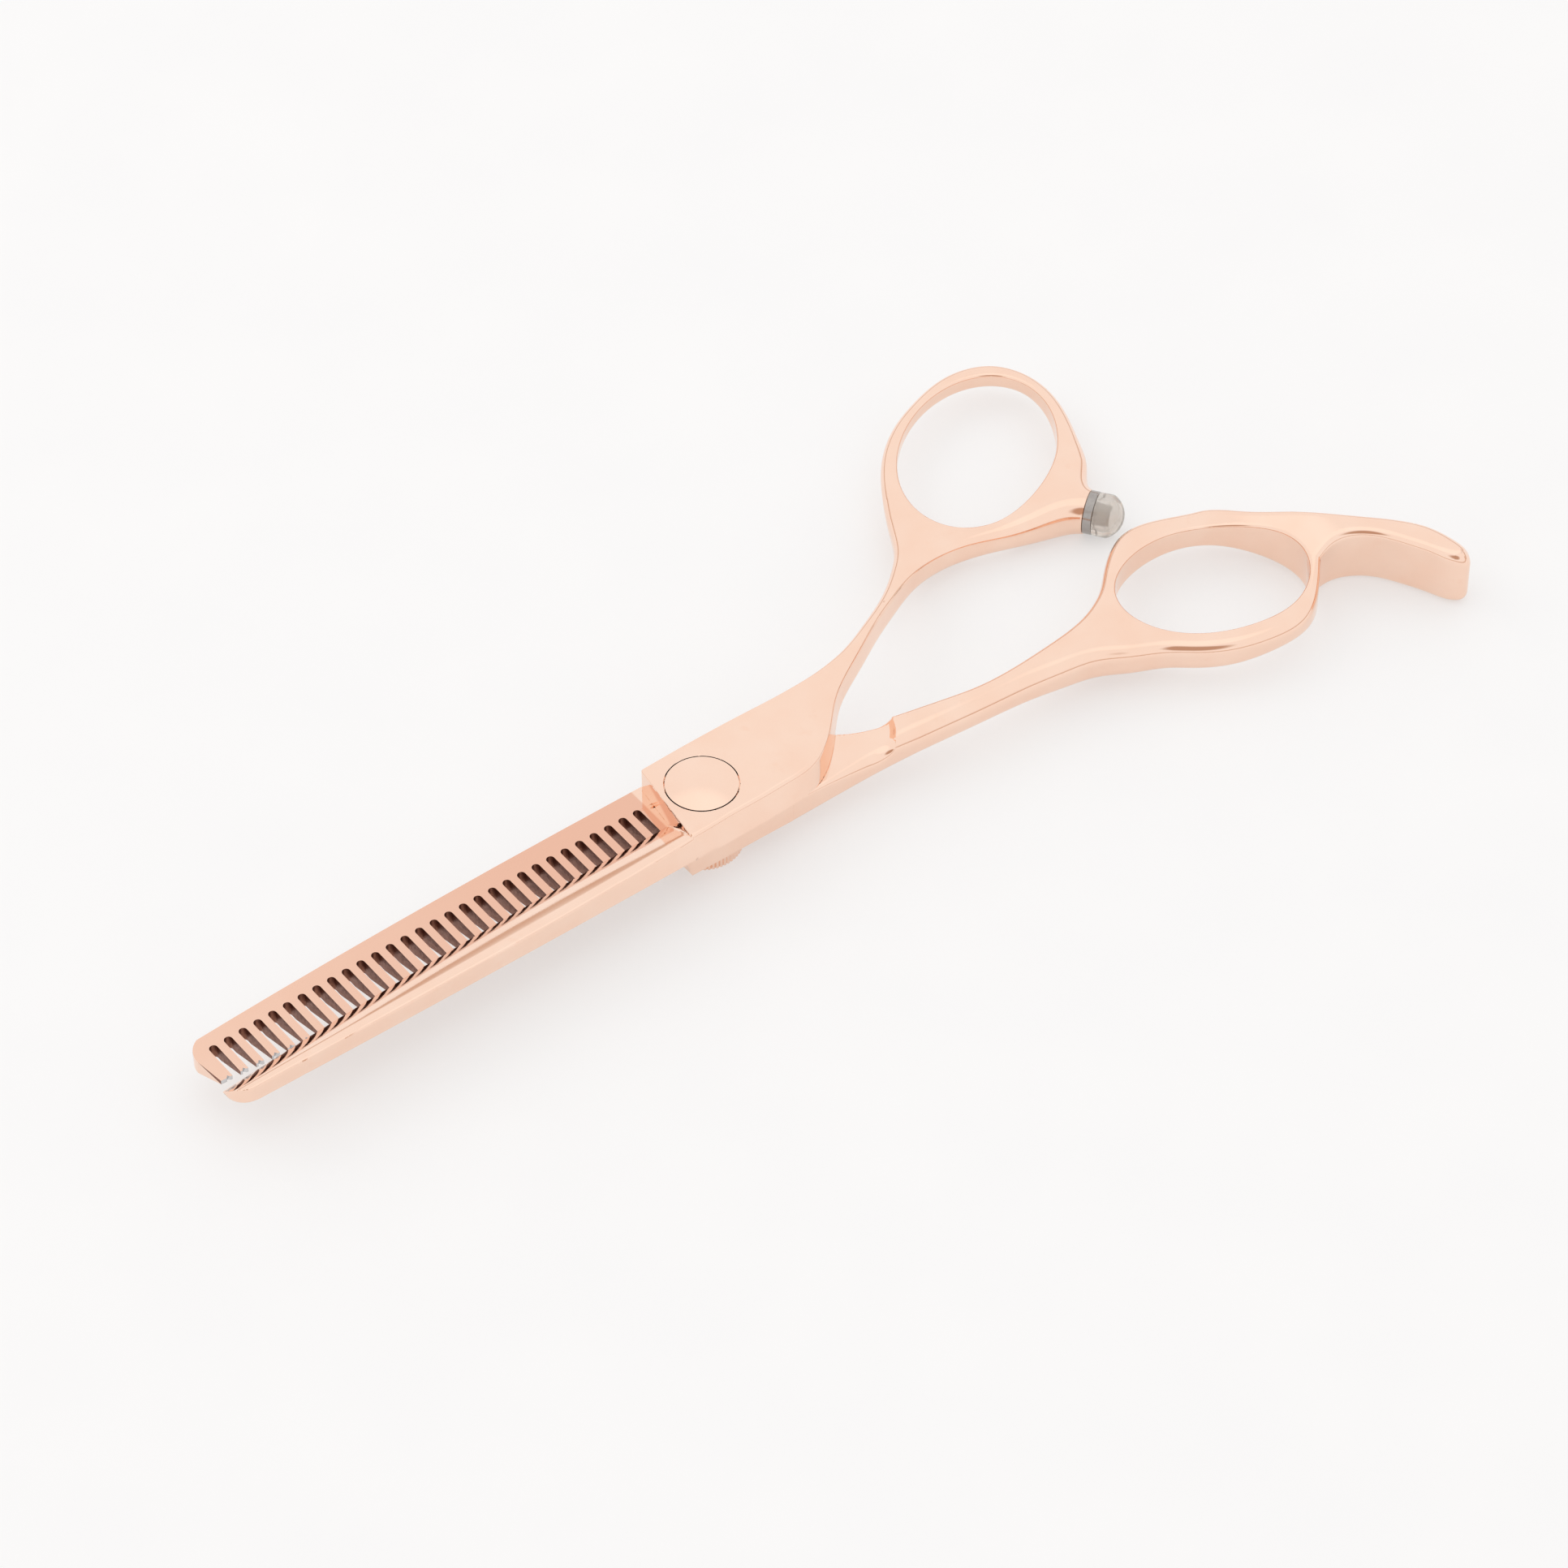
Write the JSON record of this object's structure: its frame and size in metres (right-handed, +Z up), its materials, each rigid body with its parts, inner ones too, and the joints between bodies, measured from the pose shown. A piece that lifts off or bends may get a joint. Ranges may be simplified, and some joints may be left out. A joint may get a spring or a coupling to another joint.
{
  "type": "hair thinning shears",
  "caption": "Offset hair thinning shears with one toothed blade, one plain blade, tension dial, bumper and finger rest.",
  "frame": {"origin": "on the pivot axis, in the flush outer face of the screw that keeps the tension dial on, level with the surface the closed shears lie on", "axes": "+Z up along the pivot axis from the dial to the screw head; +X along the closed shears towards the finger rest, tips towards -X"},
  "size_m": [0.1552, 0.0615, 0.0093],
  "materials": {
    "coated_steel": "mirror-polished rose-gold coating over steel",
    "washer_metal": "plain steel",
    "spring_steel": "plain spring steel",
    "washer_plastic": "slippery off-white plastic",
    "bumper_rubber": "soft smoky-grey translucent plastic, gloss",
    "stud_metal": "bright plated metal"
  },
  "bodies": {
    "finger_half": {"finger_blade": "coated_steel", "finger_handle": "coated_steel", "pivot_bushing": "washer_plastic", "ride_washer": "washer_plastic", "thrust_washer": "washer_plastic"},
    "thumb_half": {"thumb_blade": "coated_steel", "thumb_handle": "coated_steel", "pivot_screw": "coated_steel", "head_washer": "washer_plastic", "disc_spring": "spring_steel", "click_plate": "washer_metal", "retaining_screw": "coated_steel", "bumper_stud": "stud_metal", "bumper": "bumper_rubber"},
    "tension_dial": {"tension_dial": "coated_steel"}
  },
  "joints": [
    {"name": "blade_pivot", "type": "hinge", "parent": "finger_half", "child": "thumb_half", "pos_m": [0, 0, 0.0057], "axis": [0, 0, 1], "range_deg": [-2, 110]},
    {"name": "dial_turn", "type": "hinge", "parent": "thumb_half", "child": "tension_dial", "pos_m": [0, 0, 0.00135], "axis": [0, 0, 1], "range_deg": [-180, 180]}
  ]
}
